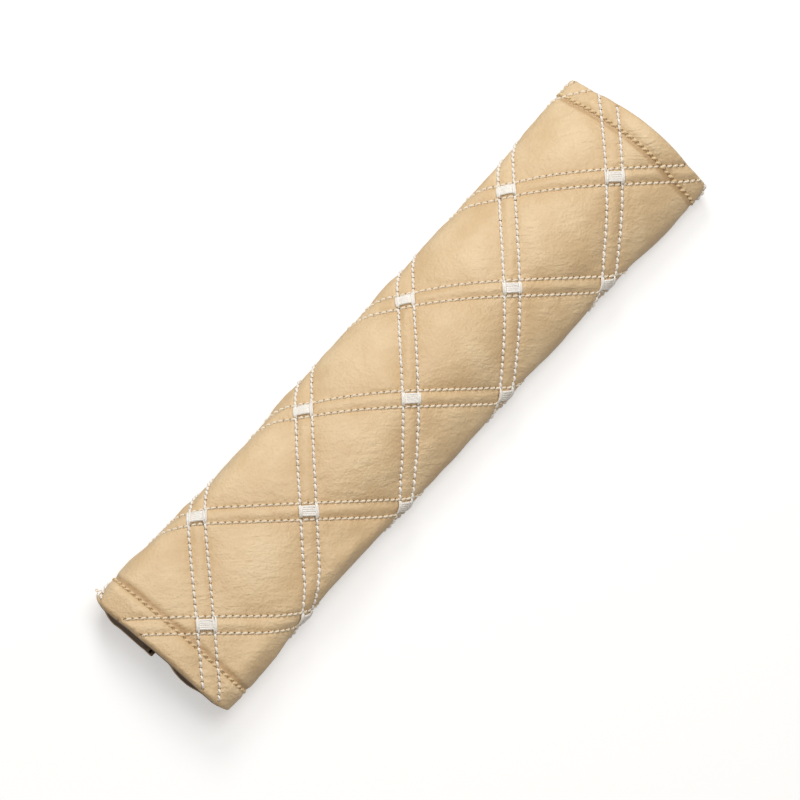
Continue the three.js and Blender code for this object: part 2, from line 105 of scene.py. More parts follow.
# %% The section at any place along the pad
def section_at(x):
    flat = ease(x, FLATTENING_START, FLATTENING_END)
    height = mix(DOME_HEIGHT, FLAT_HEIGHT, flat)
    shoulder = mix(DOME_SHOULDER, FLAT_SHOULDER, flat)
    flare = END_FLARE * ease(np.abs(x), PAD_LENGTH / 2 - FLARE_LENGTH, PAD_LENGTH / 2)
    nip = WAIST_NIP * bell(x - WAIST_PLACE, WAIST_REACH)
    half = (PAD_WIDTH + flare - nip) / 2
    sin, cos = np.sin(shoulder), np.cos(shoulder)
    fold = (height * sin - half * (1 - cos)) / ((1 + cos) * sin - (1 - sin) * (1 - cos))
    crown = (half - fold * (1 - sin)) / sin
    return height, shoulder, crown, fold, (crown - fold) * sin


_, _shoulder, _crown, _fold, _bottom = section_at(0.0)
FOLD_START = _crown * _shoulder
FOLD_END = FOLD_START + _fold * (math.pi - _shoulder)
JOGGLE_START = LEFT_EDGE_PLACE - LAP_CLEARANCE - JOGGLE_RUN
LEFT_REACH = FOLD_END + _bottom - LEFT_EDGE_PLACE
RIGHT_RUN = _bottom + JOGGLE_START
RIGHT_REACH = FOLD_END + RIGHT_RUN + JOGGLE_LENGTH + LAP_CLEARANCE + FLAP_LAP
FOLD_SIDE = (FOLD_START + FOLD_END) / 2
TIGHT_START = 0.75 * FOLD_START
SHALLOW_START = (2 * FOLD_START + FOLD_END) / 3
TUCKED_START = (FOLD_START + 3 * FOLD_END) / 4
TUCKED_END = (5 * FOLD_END - FOLD_START) / 4
QUILT_EDGE = -(FOLD_END + RIGHT_RUN / 2)
TUCK_START = QUILT_EDGE - 4
print(f"panel {2 * PANEL_END:.0f} x {LEFT_REACH + RIGHT_REACH:.0f} mm")
print(f"long folds from {FOLD_START:.1f} to {FOLD_END:.1f} mm off the crown line")


# %% From the flat panel to the closed pad
CORNER_START, CORNER_FADE = 0.8 * FOLD_START, FOLD_SIDE + 3
LEFT_CORNER_END, RIGHT_CORNER_END = FOLD_END + 3, FOLD_END + 9


def corner_share(across):
    """1 at the side of a long fold, falling to 0 towards the crown and towards the flaps."""
    reach = np.abs(across)
    corner_end = np.where(across >= 0, LEFT_CORNER_END, RIGHT_CORNER_END)
    return ease(reach, CORNER_START, FOLD_SIDE) * (1 - ease(reach, CORNER_FADE, corner_end))


def panel_place(along, across):
    """Skin points in millimetres and outward normals for places on the flat panel."""
    along, across = np.broadcast_arrays(np.asarray(along, float), np.asarray(across, float))
    left, reach = across >= 0, np.abs(across)
    bow = END_BOW * np.maximum(0, 1 - (across / FOLD_END) ** 2)
    tucked = np.where(left, LEFT_SETBACK, RIGHT_SETBACK) * ease(reach, TUCKED_START, TUCKED_END)
    tucked = tucked + np.where(along < 0, CORNER_TUCK, -CORNER_REACH) * corner_share(across)
    lean = np.where(along > 0, UPPER_LEAN, LOWER_LEAN) * np.clip(-across / FOLD_START, -1, 1)
    x = along - MIDDLE_PLACE + (np.sign(along) * (bow - tucked) + lean) * np.abs(along / PANEL_END) ** 3
    height, shoulder, crown, fold, bottom = section_at(x)
    crown_length, fold_length = crown * shoulder, fold * (math.pi - shoulder)
    usual = np.where(left, LEFT_REACH - FOLD_END, RIGHT_RUN)
    run = bottom - np.where(left, LEFT_EDGE_PLACE, -JOGGLE_START)
    over = np.minimum(reach, FOLD_END) * (crown_length + fold_length) / FOLD_END
    under = np.clip(reach - FOLD_END, 0, usual) * run / usual
    distance = over + under + np.maximum(0, reach - FOLD_END - usual)
    a = np.minimum(distance, crown_length) / crown
    b = a + np.clip(distance - crown_length, 0, fold_length) / fold
    y = crown * np.sin(a) + fold * (np.sin(b) - np.sin(a))
    z = height + crown * (np.cos(a) - 1) + fold * (np.cos(b) - np.cos(a))
    rest = np.maximum(0, distance - crown_length - fold_length)
    y, rest = y - np.minimum(rest, run), np.maximum(0, rest - run)
    up = np.where(left, 0, np.clip(rest, 0, JOGGLE_LENGTH / 2)) / JOGGLE_RADIUS
    down = np.where(left, 0, np.clip(rest - JOGGLE_LENGTH / 2, 0, JOGGLE_LENGTH / 2)) / JOGGLE_RADIUS
    heading = b + up - down
    y = y - JOGGLE_RADIUS * (2 * np.sin(up) - np.sin(up - down))
    z = z + JOGGLE_RADIUS * (1 - 2 * np.cos(up) + np.cos(up - down))
    y = y - np.where(left, rest, np.maximum(0, rest - JOGGLE_LENGTH))
    side = np.where(left, 1.0, -1.0)
    points = np.stack([x, side * y, z], -1)
    normals = np.stack([np.zeros_like(x), side * np.sin(heading), np.cos(heading)], -1)
    return points, normals


# %% [markdown]
# ## Quilting on the flat panel
# Two families of double seams cross at right angles, turned 45 degrees to the pad. Each family gets its own
# coordinate, zero midway between the two rows of a pair, so every seam is simply a place where that number is
# 3 mm off a multiple of 40. A leather pillow rises steeply beside its seam and rolls off to a broad crown.


# %% Quilt coordinates and pillow form
def quilt_coordinates(along, across):
    a, b = along - SHIFT_ALONG, across - SHIFT_ACROSS
    return (a + b) / math.sqrt(2), (a - b) / math.sqrt(2)


def panel_spot(plain, knotted):
    return SHIFT_ALONG + (plain + knotted) / math.sqrt(2), SHIFT_ACROSS + (plain - knotted) / math.sqrt(2)


def wrapped(coordinate):
    return coordinate - DIAMOND * np.round(coordinate / DIAMOND)


def stitch_depth(across):
    tucked = UNDERSIDE_DEPTH * share(across, TUCK_START, QUILT_EDGE)
    rest = mix(QUILT_DEPTH, UNDERSIDE_DEPTH, share(np.abs(across), TIGHT_START, SHALLOW_START))
    return np.where(across < QUILT_EDGE, tucked, rest)


def wall_at(across):
    return stitch_depth(across) + THIN_WALL


def pillow_rise(coordinate):
    return 1 - (1 - share(np.abs(wrapped(coordinate)), HALF_ROW, DIAMOND / 2)) ** 3


HEM_STEP, BLEND = 2.6, 8
_inset = np.linspace(0, 40, 401)
_places = [0, HEM_DEPTH - HEM_STEP, HEM_DEPTH, HEM_DEPTH + HEM_STEP, HEM_DEPTH + 4 * HEM_STEP]
_steps = np.interp(_inset, _places, [0.4, 1.0, 0.3, 0.75, 1])
_window = np.hanning(2 * BLEND + 1)
_smooth = np.convolve(np.pad(_steps, BLEND, mode="edge"), _window / _window.sum(), mode="valid")


def past_hem(along):
    """Millimetres beyond the hem seam, at either end; the upper one lies nearer its rim."""
    return np.abs(along - HEM_MIDDLE) - HEM_HALF


def hem_share(along):
    """How full the wadding is: thin at the rim, proud in the end band, pressed along the hem seam."""
    return np.interp(HEM_DEPTH - past_hem(along), _inset, _smooth)


def quilted_form(along, across):
    """How far the skin lies off its full envelope, before it swells."""
    plain, knotted = quilt_coordinates(along, across)
    rise = FULLNESS * hem_share(along) * pillow_rise(plain) * pillow_rise(knotted)
    press = UNDERSIDE_PRESS * share(np.abs(across), SHALLOW_START, FOLD_END)
    return -stitch_depth(across) * np.maximum(0, (1 - rise - press) / (1 - press))


# %% [markdown]
# ## Letting the pillows swell
# Wadding pushes the leather out while the seams hold it down. Blender's Cloth does the same: the strips
# between the rows are pinned, the cloth is a little too big for its frame, and a gentle pressure fills it.
# The pad is small for a cloth solver, so it is simulated ten times its size and read back in millimetres.
# Only the movement across the leather is kept, within caps, so the result stays where the frame says.

# %% A grid sampler, for the swelling and for soft random wrinkles
def sample(grid, u, v):
    """Smooth (Catmull-Rom) reading of a grid at fractional rows u and columns v."""
    rows, columns = grid.shape
    u, v = np.clip(u, 0, rows - 1.001), np.clip(v, 0, columns - 1.001)
    i, j = np.floor(u).astype(int), np.floor(v).astype(int)

    def weights(t):
        inner = ((3 * t - 5) * t * t + 2) / 2, ((-3 * t + 4) * t + 1) * t / 2
        return [((-t + 2) * t - 1) * t / 2, *inner, (t - 1) * t * t / 2]

    total = 0
    for a, wa in enumerate(weights(u - i)):
        row = np.clip(i + a - 1, 0, rows - 1)
        for b, wb in enumerate(weights(v - j)):
            total = total + wa * wb * grid[row, np.clip(j + b - 1, 0, columns - 1)]
    return total


def soft_noise(seed, u, v):
    grid = np.random.default_rng(seed).uniform(-1, 1, (256, 256))
    return sample(grid, np.mod(u, 250) + 1, np.mod(v, 250) + 1)


# %% Mesh helpers, all in millimetres
def new_mesh(name, points, faces=()):
    mesh = bpy.data.meshes.new(name)
    mesh.from_pydata((np.asarray(points) * MM).tolist(), [], faces)
    return mesh


def grid_mesh(name, points, uv=None, flip=False):
    rows, columns = points.shape[:2]
    index = np.arange(rows * columns).reshape(rows, columns)
    corners = [index[:-1, :-1], index[1:, :-1], index[1:, 1:], index[:-1, 1:]]
    if flip:
        corners.reverse()
    faces = np.stack(corners, -1).reshape(-1, 4)
    mesh = new_mesh(name, points.reshape(-1, 3), faces.tolist())
    if uv is not None:
        layer = mesh.uv_layers.new(name="panel")
        layer.data.foreach_set("uv", (uv.reshape(-1, 2)[faces.ravel()] * MM).ravel())
    mesh.shade_smooth()
    return mesh


def points_of(mesh):
    points = np.empty(len(mesh.vertices) * 3)
    mesh.vertices.foreach_get("co", points)
    return points.reshape(-1, 3) / MM


def add_object(name, data):
    obj = bpy.data.objects.new(name, data)
    scene.collection.objects.link(obj)
    return obj


# %% Swell the pillows with Cloth
SWELL_CAP, SINK_CAP, SOFTENING = 1.5, 0.4, 4
SWELL_STEP, SWELL_REACH = 1.9, FOLD_END + 6
PIN_PAST_ROW, PIN_BY_HEM, PIN_BY_RIM, PIN_PAST_FOLD = 0.7, 1.2, 2.0, 3.0
swell_along = np.arange(-PANEL_END, PANEL_END + SWELL_STEP, SWELL_STEP)
swell_across = np.arange(-SWELL_REACH, SWELL_REACH + SWELL_STEP, SWELL_STEP)


def simulated_swelling():
    sim_scale, frames = 10.0, 20
    along, across = np.meshgrid(swell_along, swell_across, indexing="ij")
    skin, normals = panel_place(along, across)
    start = skin + normals * quilted_form(along, across)[..., None]
    mesh = grid_mesh("swelling", start * sim_scale, flip=True)
    obj = add_object("swelling", mesh)
    plain, knotted = quilt_coordinates(along, across)
    to_seam = np.minimum(np.abs(wrapped(plain)), np.abs(wrapped(knotted)))
    held = (to_seam < HALF_ROW + PIN_PAST_ROW) | (np.abs(past_hem(along)) < PIN_BY_HEM)
    held |= (np.abs(along) > PANEL_END - PIN_BY_RIM) | (np.abs(across) > FOLD_END + PIN_PAST_FOLD)
    group = obj.vertex_groups.new(name="sewn")
    group.add(np.flatnonzero(held.ravel()).tolist(), 1.0, "REPLACE")
    cloth = obj.modifiers.new("cloth", "CLOTH")
    settings = cloth.settings
    settings.vertex_group_mass = "sewn"
    settings.quality = 5
    settings.mass = 0.3
    settings.tension_stiffness = settings.compression_stiffness = 20
    settings.shear_stiffness = 8
    settings.bending_stiffness = 1.2
    settings.shrink_min = -0.035
    settings.use_pressure = True
    settings.uniform_pressure_force = 4
    settings.effector_weights.gravity = 0
    cloth.collision_settings.use_collision = False
    cloth.point_cache.frame_start, cloth.point_cache.frame_end = 1, frames
    for number in range(1, frames + 1):
        scene.frame_set(number)
    shape = obj.evaluated_get(bpy.context.evaluated_depsgraph_get()).data
    moved = points_of(shape).reshape(start.shape) / sim_scale - start
    scene.frame_set(1)
    bpy.data.objects.remove(obj)
    outward = np.clip((moved * normals).sum(-1), -SINK_CAP, SWELL_CAP)
    for _ in range(SOFTENING):
        padded = np.pad(outward, 1, mode="edge")
        beside = padded[:-2, 1:-1] + padded[2:, 1:-1] + padded[1:-1, :-2] + padded[1:-1, 2:]
        outward = 0.5 * outward + 0.125 * beside
    return outward


swelling = simulated_swelling()
print(f"cloth: {swelling.size} points, swelling {swelling.min():.2f} to {swelling.max():.2f} mm")

# %% [markdown]
# ## The sewn skin
# What sewing does to leather is finer than a cloth solver sees: a ridge between the two rows of a pair, a
# groove under each row that dips at every needle hole, and short puckers beside it. These follow rules, so
# they are added in code, on a grid fine enough to show them.

# %% Seam detail and the finished skin, in millimetres
PITCH = 2.5
EDGE_SEAM = LEFT_REACH - 3.6
LEVEL_RIDGE, UPRIGHT_RIDGE = 0.62, 0.38
GROOVE, GROOVE_WIDTH, HOLE_DIP = 0.32, 0.8, 0.45
PUCKER, CREASE, PUCKER_REACH = 0.07, 0.11, 3.2
HEM_DIP, HEM_DIP_WIDTH, HEM_HOLE_DIP = 0.4, 0.9, 0.4
# The last of these is how far inside the hem seam the painted shade of its groove is centred, in millimetres
HEM_GROOVE, HEM_GROOVE_PLACE, HEM_GROOVE_WIDTH, HEM_PAINTED_SHADE_PLACE = 0.6, 1.4, 1.2, 1.2
EDGE_DIP, EDGE_DIP_WIDTH = 0.7, 1.0
BROAD_WAVE, FINE_WAVE, CRINKLE = 0.07, 0.05, 0.06
UNDERSIDE = FOLD_END - 3


def needle_beat(run):
    return np.cos(2 * math.pi * run / PITCH)


def seam_detail(ridge, row, run):
    """The ridge of one family's pairs, their stitch grooves and the puckers beside them."""
    off = np.abs(wrapped(row))
    beside = np.abs(off - HALF_ROW)
    strip = ridge * np.cos(np.clip(off / HALF_ROW, 0, 1) * math.pi / 2) ** 2
    dip = GROOVE * bell(beside, GROOVE_WIDTH) * (1 + HOLE_DIP * needle_beat(run))
    reach = np.exp(-beside / PUCKER_REACH) * (off > HALF_ROW * 0.4)
    bend = 1.4 * soft_noise(3, row / 9 + 50, run / 12)
    pucker = PUCKER * np.sin(2 * math.pi * (run / PITCH / 1.5) + bend * 3) * reach
    crease = CREASE * soft_noise(5, run / 2.1, row / 8 + 90) * reach
    return strip - dip + pucker + crease


def skin_relief(along, across):
    """How far the finished skin lies off its full envelope."""
    plain, knotted = quilt_coordinates(along, across)
    u, v = (along - swell_along[0]) / SWELL_STEP, (across - swell_across[0]) / SWELL_STEP
    swell = sample(swelling, u, v) * (np.abs(across) < SWELL_REACH) * hem_share(along)
    depth = stitch_depth(across) / QUILT_DEPTH
    hem = past_hem(along)
    at_hem = ease(np.abs(hem), 0.5, 3)
    level_ridge = LEVEL_RIDGE * (0.35 + 0.65 * ease(np.abs(wrapped(knotted)), 1.5, 5))
    upright_ridge = UPRIGHT_RIDGE * (0.2 + 0.8 * ease(np.abs(wrapped(plain)), 2.5, 6))
    detail = seam_detail(level_ridge, plain, knotted) + seam_detail(upright_ridge, knotted, plain)
    hem_dip = HEM_DIP * bell(np.abs(hem), HEM_DIP_WIDTH) * (1 + HEM_HOLE_DIP * needle_beat(across))
    hem_dip = hem_dip + HEM_GROOVE * bell(hem + HEM_GROOVE_PLACE, HEM_GROOVE_WIDTH)
    quilted = share(across, QUILT_EDGE - 2, QUILT_EDGE + 2)
    edge_dip = EDGE_DIP * bell(across - EDGE_SEAM, EDGE_DIP_WIDTH)
    soft = BROAD_WAVE * soft_noise(11, along / 11, across / 11)
    soft = soft + FINE_WAVE * soft_noise(13, along / 4.2, across / 4.2)
    crinkle = CRINKLE * soft_noise(17, (along + across) / 1.9, (along - across) / 6.5)
    small = detail * at_hem + (soft + crinkle) * hem_share(along)
    form = quilted_form(along, across) + swell
    return form + depth * quilted * small - hem_dip * depth - edge_dip


def keep_off_floor(points, where):
    points[..., 2] = np.where(where, np.maximum(points[..., 2], 0.0), points[..., 2])


def skin_point(along, across, lift=0.0):
    points, normals = panel_place(along, across)
    placed = points + normals * (skin_relief(along, across) + lift)[..., None]
    keep_off_floor(placed, np.abs(across) > UNDERSIDE)
    return placed


# %% Rolled ends and edges
END_ROLL, END_TURN_IN = 1.4, 10.0
EDGE_ROLL, EDGE_TURN_IN = 1.2, 0.8
TOP_REACH = FOLD_END + 2
ALONG_STEP, TOP_STEP, RIGHT_STEP, LEFT_STEP = 0.8, 0.66, 1.4, 1.2


def rolled_stops(stops, low, high, roll, turn_in):
    """Stops that roll over both edges, each with a share from 0, outer face, to 1, turned in."""
    turn = np.linspace(0, math.pi, 11)[1:]
    back = np.linspace(0, 1, 5)[1:]
    depth = np.concatenate([(1 - np.cos(turn)) / 2, np.ones(len(back))])

    def beyond(edge, sign):
        rolled = edge + sign * roll * (np.sin(turn) - 1)
        return np.concatenate([rolled, rolled[-1] - sign * turn_in * back])

    position = np.concatenate([beyond(low, -1)[::-1], stops, beyond(high, 1)])
    return position, np.concatenate([depth[::-1], np.zeros(len(stops)), depth])


def between(low, high, step):
    return np.linspace(low, high, max(2, int(round((high - low) / step)) + 1))


outer_along = between(-PANEL_END + END_ROLL, PANEL_END - END_ROLL, ALONG_STEP)
outer_across = np.concatenate(
    [
        between(-RIGHT_REACH + EDGE_ROLL, -TOP_REACH, RIGHT_STEP)[:-1],
        between(-TOP_REACH, TOP_REACH, TOP_STEP),
        between(TOP_REACH, LEFT_REACH - EDGE_ROLL, LEFT_STEP)[1:],
    ]
)
skin_along, along_turn = rolled_stops(outer_along, -PANEL_END, PANEL_END, END_ROLL, END_TURN_IN)
skin_across, across_turn = rolled_stops(outer_across, -RIGHT_REACH, LEFT_REACH, EDGE_ROLL, EDGE_TURN_IN)
S, T = np.meshgrid(skin_along, skin_across, indexing="ij")
TURN = 1 - (1 - along_turn[:, None]) * (1 - across_turn[None, :])
_points, _normals = panel_place(S, T)
_outer = skin_relief(S, T)
_inner = -(wall_at(T) + LAYER_GAP + LEATHER)
skin_points = _points + _normals * mix(_outer, _inner, TURN)[..., None]
keep_off_floor(skin_points, (np.abs(T) > UNDERSIDE) & (TURN < 0.5))
skin_mesh = grid_mesh("leather_skin", skin_points, np.stack([S, T], -1))
# hollow (how deep the skin lies under its full envelope) and turned (how far the leather is turned in) only
# steer painted shade in the leather's material
for key, values in (("hollow", np.clip(-_outer / QUILT_DEPTH, 0, 1)), ("turned", TURN)):
    attribute = skin_mesh.attributes.new(key, "FLOAT", "POINT")
    attribute.data.foreach_set("value", values.ravel().astype(np.float32))
leather_skin = add_object("leather_skin", skin_mesh)
print("leather skin:", len(skin_mesh.polygons) * 2, "triangles")

# %% [markdown]
# ## Stitches
# A quilting machine repeats one stitch hundreds of times, which is what Geometry Nodes are for. The points
# where stitches lie are worked out on the panel, with the direction of the seam and of the leather under
# them. The node tree draws one short arched thread that dives into the leather at both ends, puts it on every
# point, turns it to the seam and varies it a little. It is wired with the same few helpers as the materials.

# %% Small helpers for every node tree
FLOAT, VECTOR = "NodeSocketFloat", "NodeSocketVector"


def feed(tree, slot_, value):
    """Give a socket a plain value, or link another node's output to it."""
    if isinstance(value, bpy.types.NodeSocket):
        tree.links.new(value, slot_)
    else:
        slot_.default_value = value


def set_inputs(tree, node, **values):
    """Feed a node's inputs by name; an underscore stands for a space."""
    for key, value in values.items():
        feed(tree, node.inputs[key.replace("_", " ")], value)
    return node


def add_node(tree, kind, **values):
    return set_inputs(tree, tree.nodes.new(kind), **values)


def calc(tree, operation, *values):
    node = tree.nodes.new("ShaderNodeMath")
    node.operation = operation
    for slot_, value in zip(node.inputs, values):
        feed(tree, slot_, value)
    return node.outputs[0]


def vector(tree, x=0.0, y=0.0, z=0.0):
    return add_node(tree, "ShaderNodeCombineXYZ", X=x, Y=y, Z=z).outputs[0]


def new_tree(name, kind, inputs, outputs):
    """A node group; inputs are (name, type, default) and outputs (name, type)."""
    tree = bpy.data.node_groups.new(name, kind)
    for key, socket_type, default in inputs:
        made = tree.interface.new_socket(name=key, in_out="INPUT", socket_type=socket_type)
        if default is not None:
            made.default_value = default
    for key, socket_type in outputs:
        tree.interface.new_socket(name=key, in_out="OUTPUT", socket_type=socket_type)
    return tree, tree.nodes.new("NodeGroupInput"), tree.nodes.new("NodeGroupOutput")


# %% The stitch tree
GEOMETRY, ALIGN = "NodeSocketGeometry", "FunctionNodeAlignRotationToVector"
STITCH_SIZES = {"Length": 0.002, "Thickness": 0.001, "Arch": 0.0006, "Unevenness": 0.08, "Slant": 0.2}


def build_stitch_tree():
    inputs = [("Geometry", GEOMETRY, None)]
    inputs += [(key, FLOAT, default) for key, default in STITCH_SIZES.items()]
    inputs += [("Seed", "NodeSocketInt", 1), ("Thread", "NodeSocketMaterial", None)]
    tree, start, end = new_tree("sewn_stitches", "GeometryNodeTree", inputs, [("Geometry", GEOMETRY)])
    given = start.outputs

    def named_vector(name):
        node = add_node(tree, "GeometryNodeInputNamedAttribute", Name=name)
        node.data_type = "FLOAT_VECTOR"
        return node.outputs["Attribute"]

    # One thread: an arc that is thickest in the middle and dives in at both ends.
    half = calc(tree, "MULTIPLY", given["Length"], 0.5)
    dive = calc(tree, "MULTIPLY", given["Arch"], -1.0)
    arc = add_node(tree, "GeometryNodeCurveQuadraticBezier", Resolution=6, End=vector(tree, half, z=dive))
    middle = vector(tree, z=calc(tree, "MULTIPLY", given["Arch"], 2.0))
    set_inputs(tree, arc, Start=vector(tree, calc(tree, "MULTIPLY", half, -1.0), z=dive), Middle=middle)
    part_way = add_node(tree, "GeometryNodeSplineParameter").outputs["Factor"]
    bulge = calc(tree, "SINE", calc(tree, "MULTIPLY", part_way, math.pi))
    bulge = calc(tree, "MULTIPLY_ADD", bulge, 0.5, 0.5)
    path = add_node(tree, "GeometryNodeSetCurveRadius", Curve=arc.outputs[0], Radius=bulge).outputs[0]
    ring_radius = calc(tree, "MULTIPLY", given["Thickness"], 0.5)
    ring = add_node(tree, "GeometryNodeCurvePrimitiveCircle", Resolution=6, Radius=ring_radius).outputs[0]
    tube = add_node(tree, "GeometryNodeCurveToMesh", Curve=path, Profile_Curve=ring, Fill_Caps=True)

    # Its turn: along the seam, upright on the leather, then slanted a little.
    run = add_node(tree, ALIGN, Vector=named_vector("run"))
    run.axis = "X"
    up = add_node(tree, ALIGN, Rotation=run.outputs[0], Vector=named_vector("up"))
    up.axis, up.pivot_axis = "Z", "X"
    slant = add_node(tree, "FunctionNodeAxisAngleToRotation", Axis=(0, 0, 1), Angle=given["Slant"]).outputs[0]
    turn = add_node(tree, "FunctionNodeRotateRotation", Rotation=up.outputs[0], Rotate_By=slant)
    turn.rotation_space = "LOCAL"

    # One on every point, a little uneven in size.
    uneven = add_node(tree, "FunctionNodeRandomValue", Seed=given["Seed"])
    uneven.data_type = "FLOAT"
    feed(tree, uneven.inputs[2], calc(tree, "SUBTRACT", 1.0, given["Unevenness"]))
    feed(tree, uneven.inputs[3], calc(tree, "ADD", 1.0, given["Unevenness"]))
    put = add_node(tree, "GeometryNodeInstanceOnPoints", Points=given["Geometry"], Instance=tube.outputs[0])
    set_inputs(tree, put, Rotation=turn.outputs[0], Scale=uneven.outputs[1])
    real = add_node(tree, "GeometryNodeRealizeInstances", Geometry=put.outputs[0])
    paint = add_node(tree, "GeometryNodeSetMaterial", Geometry=real.outputs[0], Material=given["Thread"])
    feed(tree, end.inputs[0], paint.outputs[0])
    return tree


stitch_tree = build_stitch_tree()


def sew(name, marks, thread, length, thickness, arch, unevenness, slant, seed):
    """marks: points, run and up vectors, all (n, 3), points in millimetres."""
    points, run, up = marks
    mesh = new_mesh(name, points)
    for key, values in (("run", run), ("up", up)):
        attribute = mesh.attributes.new(key, "FLOAT_VECTOR", "POINT")
        attribute.data.foreach_set("vector", values.astype(np.float32).ravel())
    obj = add_object(name, mesh)
    modifier = obj.modifiers.new("stitches", "NODES")
    modifier.node_group = stitch_tree
    values = dict(zip(STITCH_SIZES, (length * MM, thickness * MM, arch * MM, unevenness, slant)))
    values.update(Seed=seed, Thread=thread)
    for item in stitch_tree.interface.items_tree:
        if item.in_out == "INPUT" and item.name in values:
            modifier[item.identifier] = values[item.name]
    bpy.context.view_layer.update()
    baked = bpy.data.meshes.new_from_object(obj.evaluated_get(bpy.context.evaluated_depsgraph_get()))
    obj.modifiers.clear()
    obj.data = baked
    baked.name = name
    baked.shade_smooth()
    print(f"{name}: {len(points)} stitches, {len(baked.polygons)} faces")
    return obj


# %% [markdown]
# ## Materials
# Faux leather is embossed foil: a fine pebble grain, a satin sheen and almost no change of colour. What makes
# it read as sewn here is painted shade: soft painted shade in the seams, the pillows' hollows and the hem
# groove, a painted dark dot at every needle hole, and dark brown on the turned-in leather in the open ends.
# Grain, needle holes and cloth fuzz are node groups that materials share. The holes are worked out from the
# panel's own UV map, so they sit exactly where the stitches dive in.

# %% Helpers for materials
BUMP_STRENGTH = 0.8


def new_material(name):
    material = bpy.data.materials.new(name)
    material.use_nodes = True
    return material, material.node_tree, material.node_tree.nodes["Principled BSDF"]


def blend_colour(tree, factor, a, b):
    node = tree.nodes.new("ShaderNodeMix")
    node.data_type = "RGBA"
    for number, value in ((0, factor), (6, a), (7, b)):
        feed(tree, node.inputs[number], value)
    return node.outputs[2]


def smooth_range(tree, value, low, high, to_low=0.0, to_high=1.0):
    node = tree.nodes.new("ShaderNodeMapRange")
    node.interpolation_type = "SMOOTHSTEP"
    for slot_, number in zip(node.inputs, (value, low, high, to_low, to_high)):
        feed(tree, slot_, number)
    return node.outputs[0]


def noise(tree, place, scale, detail, distortion=0.0):
    node = add_node(tree, "ShaderNodeTexNoise", Vector=place, Scale=scale, Detail=detail)
    return set_inputs(tree, node, Distortion=distortion).outputs["Fac"]


def srgb(r, g, b):
    """A colour as it is read off a screen, 0 to 255, made linear."""
    def one(c):
        c = c / 255
        return c / 12.92 if c <= 0.04045 else ((c + 0.055) / 1.055) ** 2.4

    return (one(r), one(g), one(b), 1.0)


def use_group(tree, group, **values):
    node = tree.nodes.new("ShaderNodeGroup")
    node.node_tree = group
    return set_inputs(tree, node, **values).outputs


def attribute_value(tree, name):
    node = tree.nodes.new("ShaderNodeAttribute")
    node.attribute_name = name
    return node.outputs["Fac"]


def object_coordinates(tree):
    return tree.nodes.new("ShaderNodeTexCoord").outputs["Object"]


def set_finish(tree, shader, colour, roughness, sheen, height, depth):
    """Colour, roughness and sheen, with a bump of `height` that is `depth` metres deep."""
    node = add_node(tree, "ShaderNodeBump", Height=height, Distance=depth, Strength=BUMP_STRENGTH)
    set_inputs(tree, shader, Base_Color=colour, Roughness=roughness, Sheen_Weight=sheen)
    feed(tree, shader.inputs["Normal"], node.outputs[0])


# %% Shared groups: leather grain, needle holes and cloth fuzz
def build_grain():
    inputs = [("Vector", VECTOR, None), ("Pebble size", FLOAT, 0.0009)]
    outputs = [("Height", FLOAT), ("Mottle", FLOAT)]
    tree, start, end = new_tree("pebble_grain", "ShaderNodeTree", inputs, outputs)
    place = start.outputs["Vector"]
    density = calc(tree, "DIVIDE", 1.0, start.outputs["Pebble size"])
    pebbles = tree.nodes.new("ShaderNodeTexVoronoi")
    pebbles.feature = "SMOOTH_F1"
    set_inputs(tree, pebbles, Smoothness=0.6, Vector=place, Scale=density)
    height = calc(tree, "MULTIPLY", calc(tree, "SUBTRACT", 1.0, pebbles.outputs["Distance"]), 0.6)
    uneven = calc(tree, "MULTIPLY", noise(tree, place, calc(tree, "MULTIPLY", density, 0.35), 2), 0.8)
    mottle = noise(tree, place, calc(tree, "MULTIPLY", density, 0.06), 4)
    set_inputs(tree, end, Height=calc(tree, "ADD", height, uneven), Mottle=mottle)
    return tree


# The needle holes group gives two masks: dots of painted shade at the holes, which also dent the bump, and
# painted shade along each row.
def build_holes():
    sizes = {"Half pair": HALF_ROW * MM, "Repeat": DIAMOND * MM, "Pitch": PITCH * MM, "Hole": 0.0006}
    inputs = [(key, FLOAT, default) for key, default in {"Row": 0.0, "Run": 0.0, **sizes}.items()]
    outputs = [("Hole mask", FLOAT), ("Seam mask", FLOAT)]
    tree, start, end = new_tree("needle_holes", "ShaderNodeTree", inputs, outputs)

    def off_nearest(value, period):
        half = calc(tree, "MULTIPLY", period, 0.5)
        wrapped_value = calc(tree, "WRAP", value, half, calc(tree, "MULTIPLY", half, -1.0))
        return calc(tree, "ABSOLUTE", wrapped_value)

    off = off_nearest(start.outputs["Row"], start.outputs["Repeat"])
    beside = calc(tree, "ABSOLUTE", calc(tree, "SUBTRACT", off, start.outputs["Half pair"]))
    step = off_nearest(start.outputs["Run"], start.outputs["Pitch"])
    squares = calc(tree, "ADD", calc(tree, "POWER", beside, 2.0), calc(tree, "POWER", step, 2.0))
    hole = calc(tree, "DIVIDE", calc(tree, "SQRT", squares), start.outputs["Hole"])
    seam = calc(tree, "DIVIDE", beside, start.outputs["Hole"])
    hole, seam = smooth_range(tree, hole, 0.45, 1.1, 1.0, 0.0), smooth_range(tree, seam, 0.2, 2.4, 1.0, 0.0)
    set_inputs(tree, end, Hole_mask=hole, Seam_mask=seam)
    return tree


def build_fuzz():
    inputs = [("Vector", VECTOR, None), ("Fibre size", FLOAT, 0.0004)]
    outputs = [("Height", FLOAT), ("Shade", FLOAT)]
    tree, start, end = new_tree("cloth_fuzz", "ShaderNodeTree", inputs, outputs)
    fibres = noise(tree, start.outputs["Vector"], calc(tree, "DIVIDE", 1.0, start.outputs["Fibre size"]), 3)
    set_inputs(tree, end, Height=fibres, Shade=smooth_range(tree, fibres, 0.3, 0.7))
    return tree


grain_group, holes_group, fuzz_group = build_grain(), build_holes(), build_fuzz()
print("shared groups:", [group.name for group in (grain_group, holes_group, fuzz_group)])


